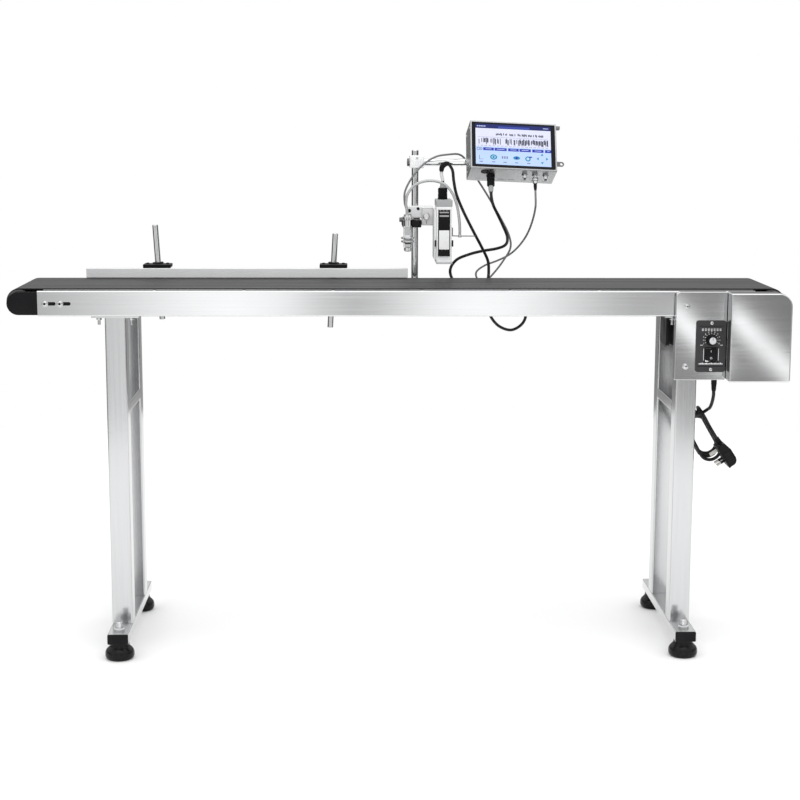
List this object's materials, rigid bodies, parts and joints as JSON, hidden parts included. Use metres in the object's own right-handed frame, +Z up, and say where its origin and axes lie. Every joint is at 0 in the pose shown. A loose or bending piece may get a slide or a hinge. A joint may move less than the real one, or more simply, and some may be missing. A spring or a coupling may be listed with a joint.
{
  "type": "date code inkjet printer",
  "caption": "Belt conveyor on two tube legs with an inkjet print head, trigger sensor, tilting touch screen controller, guide rail and drive housing.",
  "frame": {"origin": "on the floor under the middle of the machine", "axes": "+X along the belt towards the drive housing, -Y towards the operator, +Z up"},
  "size_m": [1.4848, 0.386, 1.0263],
  "materials": {
    "stainless": "satin brushed sheet and tube",
    "polished_stainless": "bright brushed cover sheet",
    "chrome_steel": "bright chrome plated rod and barrel",
    "dark_steel": "dull machined steel",
    "black_plastic": "satin black moulding",
    "black_rubber": "matte black rubber and cable jacket",
    "belt_pvc": "matte dark grey belt cover",
    "motor_paint": "black paint, semi matte",
    "white_paint": "silver white powder coat",
    "case_aluminium": "satin anodised",
    "screen_glass": "glossy touch screen",
    "grey_cord": "smooth grey cable jacket",
    "clear_sleeve": "silvery clear sleeve"
  },
  "bodies": {
    "frame": {"rail_front": "stainless", "rail_rear": "stainless", "bed_plate": "stainless", "conveyor_belt": "belt_pvc", "drive_bearing_front": "black_plastic", "drive_bearing_rear": "black_plastic", "side_plate": "stainless", "drive_cover": "polished_stainless", "control_cover": "polished_stainless", "speed_controller": "black_plastic", "gearbox": "motor_paint", "drive_motor": "motor_paint", "drive_chain": "dark_steel", "leg_post_left_front": "stainless", "leg_post_left_rear": "stainless", "leg_post_right_front": "stainless", "leg_post_right_rear": "stainless", "leg_crossbar_left": "stainless", "leg_crossbar_right": "stainless", "leg_base_left": "stainless", "leg_base_right": "stainless", "leg_top_plate_left": "stainless", "leg_top_plate_right": "stainless", "stand_foot": "dark_steel", "stand_post": "chrome_steel", "arm_clamp": "white_paint", "arm_tube": "chrome_steel", "sensor_barrel": "chrome_steel", "sensor_clamp": "black_plastic", "power_gland": "black_rubber", "power_cord": "black_rubber", "cord_hank": "black_rubber", "power_plug": "black_plastic", "head_cable_upper": "black_rubber", "head_cable_lower": "black_rubber", "sensor_lead": "grey_cord", "sensor_sleeve": "clear_sleeve"},
    "tail_tensioner": {"tail_bracket_front": "black_plastic", "tail_bracket_rear": "black_plastic"},
    "tail_roller": {"tail_roller": "dark_steel"},
    "drive_roller": {"drive_roller": "dark_steel", "roller_sprocket": "dark_steel"},
    "motor_shaft": {"motor_sprocket": "dark_steel"},
    "foot_left_front": {"foot_left_front": "black_rubber"},
    "foot_left_rear": {"foot_left_rear": "black_rubber"},
    "foot_right_front": {"foot_right_front": "black_rubber"},
    "foot_right_rear": {"foot_right_rear": "black_rubber"},
    "speed_knob": {"speed_knob": "black_plastic"},
    "power_switch": {"power_switch": "black_plastic"},
    "guide": {"guide_bar": "stainless", "guide_rod_left": "chrome_steel", "guide_rod_right": "chrome_steel", "guide_clamp_left": "black_plastic", "guide_clamp_right": "black_plastic"},
    "head": {"head_bracket": "white_paint", "print_head": "white_paint"},
    "cartridge": {"ink_cartridge": "black_plastic"},
    "controller": {"controller_case": "case_aluminium", "controller_screen": "screen_glass", "tilt_clamp": "black_plastic"}
  },
  "joints": [
    {"name": "tail_tension", "type": "slide", "parent": "frame", "child": "tail_tensioner", "axis": [1, 0, 0], "range_m": [0, 0.014]},
    {"name": "tail_roller_spin", "type": "hinge", "parent": "tail_tensioner", "child": "tail_roller", "pos_m": [-0.7172, 0, 0.6846], "axis": [0, 1, 0], "continuous": true},
    {"name": "drive_roller_spin", "type": "hinge", "parent": "frame", "child": "drive_roller", "pos_m": [0.7172, 0, 0.6846], "axis": [0, 1, 0], "continuous": true},
    {"name": "motor_shaft_spin", "type": "hinge", "parent": "frame", "child": "motor_shaft", "pos_m": [0.672, 0, 0.59], "axis": [0, 1, 0], "continuous": true},
    {"name": "foot_left_front_height", "type": "slide", "parent": "frame", "child": "foot_left_front", "axis": [0, 0, 1], "range_m": [-0.025, 0]},
    {"name": "foot_left_rear_height", "type": "slide", "parent": "frame", "child": "foot_left_rear", "axis": [0, 0, 1], "range_m": [-0.025, 0]},
    {"name": "foot_right_front_height", "type": "slide", "parent": "frame", "child": "foot_right_front", "axis": [0, 0, 1], "range_m": [-0.025, 0]},
    {"name": "foot_right_rear_height", "type": "slide", "parent": "frame", "child": "foot_right_rear", "axis": [0, 0, 1], "range_m": [-0.025, 0]},
    {"name": "speed_knob_turn", "type": "hinge", "parent": "frame", "child": "speed_knob", "pos_m": [0.596, -0.1453, 0.6155], "axis": [0, 1, 0], "range_deg": [0, 270]},
    {"name": "power_switch_rock", "type": "hinge", "parent": "frame", "child": "power_switch", "pos_m": [0.596, -0.1435, 0.587], "axis": [1, 0, 0], "range_deg": [0, 16]},
    {"name": "guide_height", "type": "slide", "parent": "frame", "child": "guide", "axis": [0, 0, 1], "range_m": [0, 0.03]},
    {"name": "print_head_height", "type": "slide", "parent": "frame", "child": "head", "axis": [0, 0, 1], "range_m": [0, 0.04], "deforming": ["head_cable_upper", "sensor_sleeve"]},
    {"name": "cartridge_release", "type": "slide", "parent": "head", "child": "cartridge", "axis": [0, -1, 0], "range_m": [0, 0.038]},
    {"name": "controller_tilt", "type": "hinge", "parent": "frame", "child": "controller", "pos_m": [0.2304, 0.128, 0.9415], "axis": [1, 0, 0], "range_deg": [-15, 27], "deforming": ["head_cable_lower", "sensor_lead"]}
  ],
  "couplings": [
    {"joint": "tail_roller_spin", "follows": "drive_roller_spin", "ratio": 1},
    {"joint": "motor_shaft_spin", "follows": "drive_roller_spin", "ratio": 1}
  ]
}
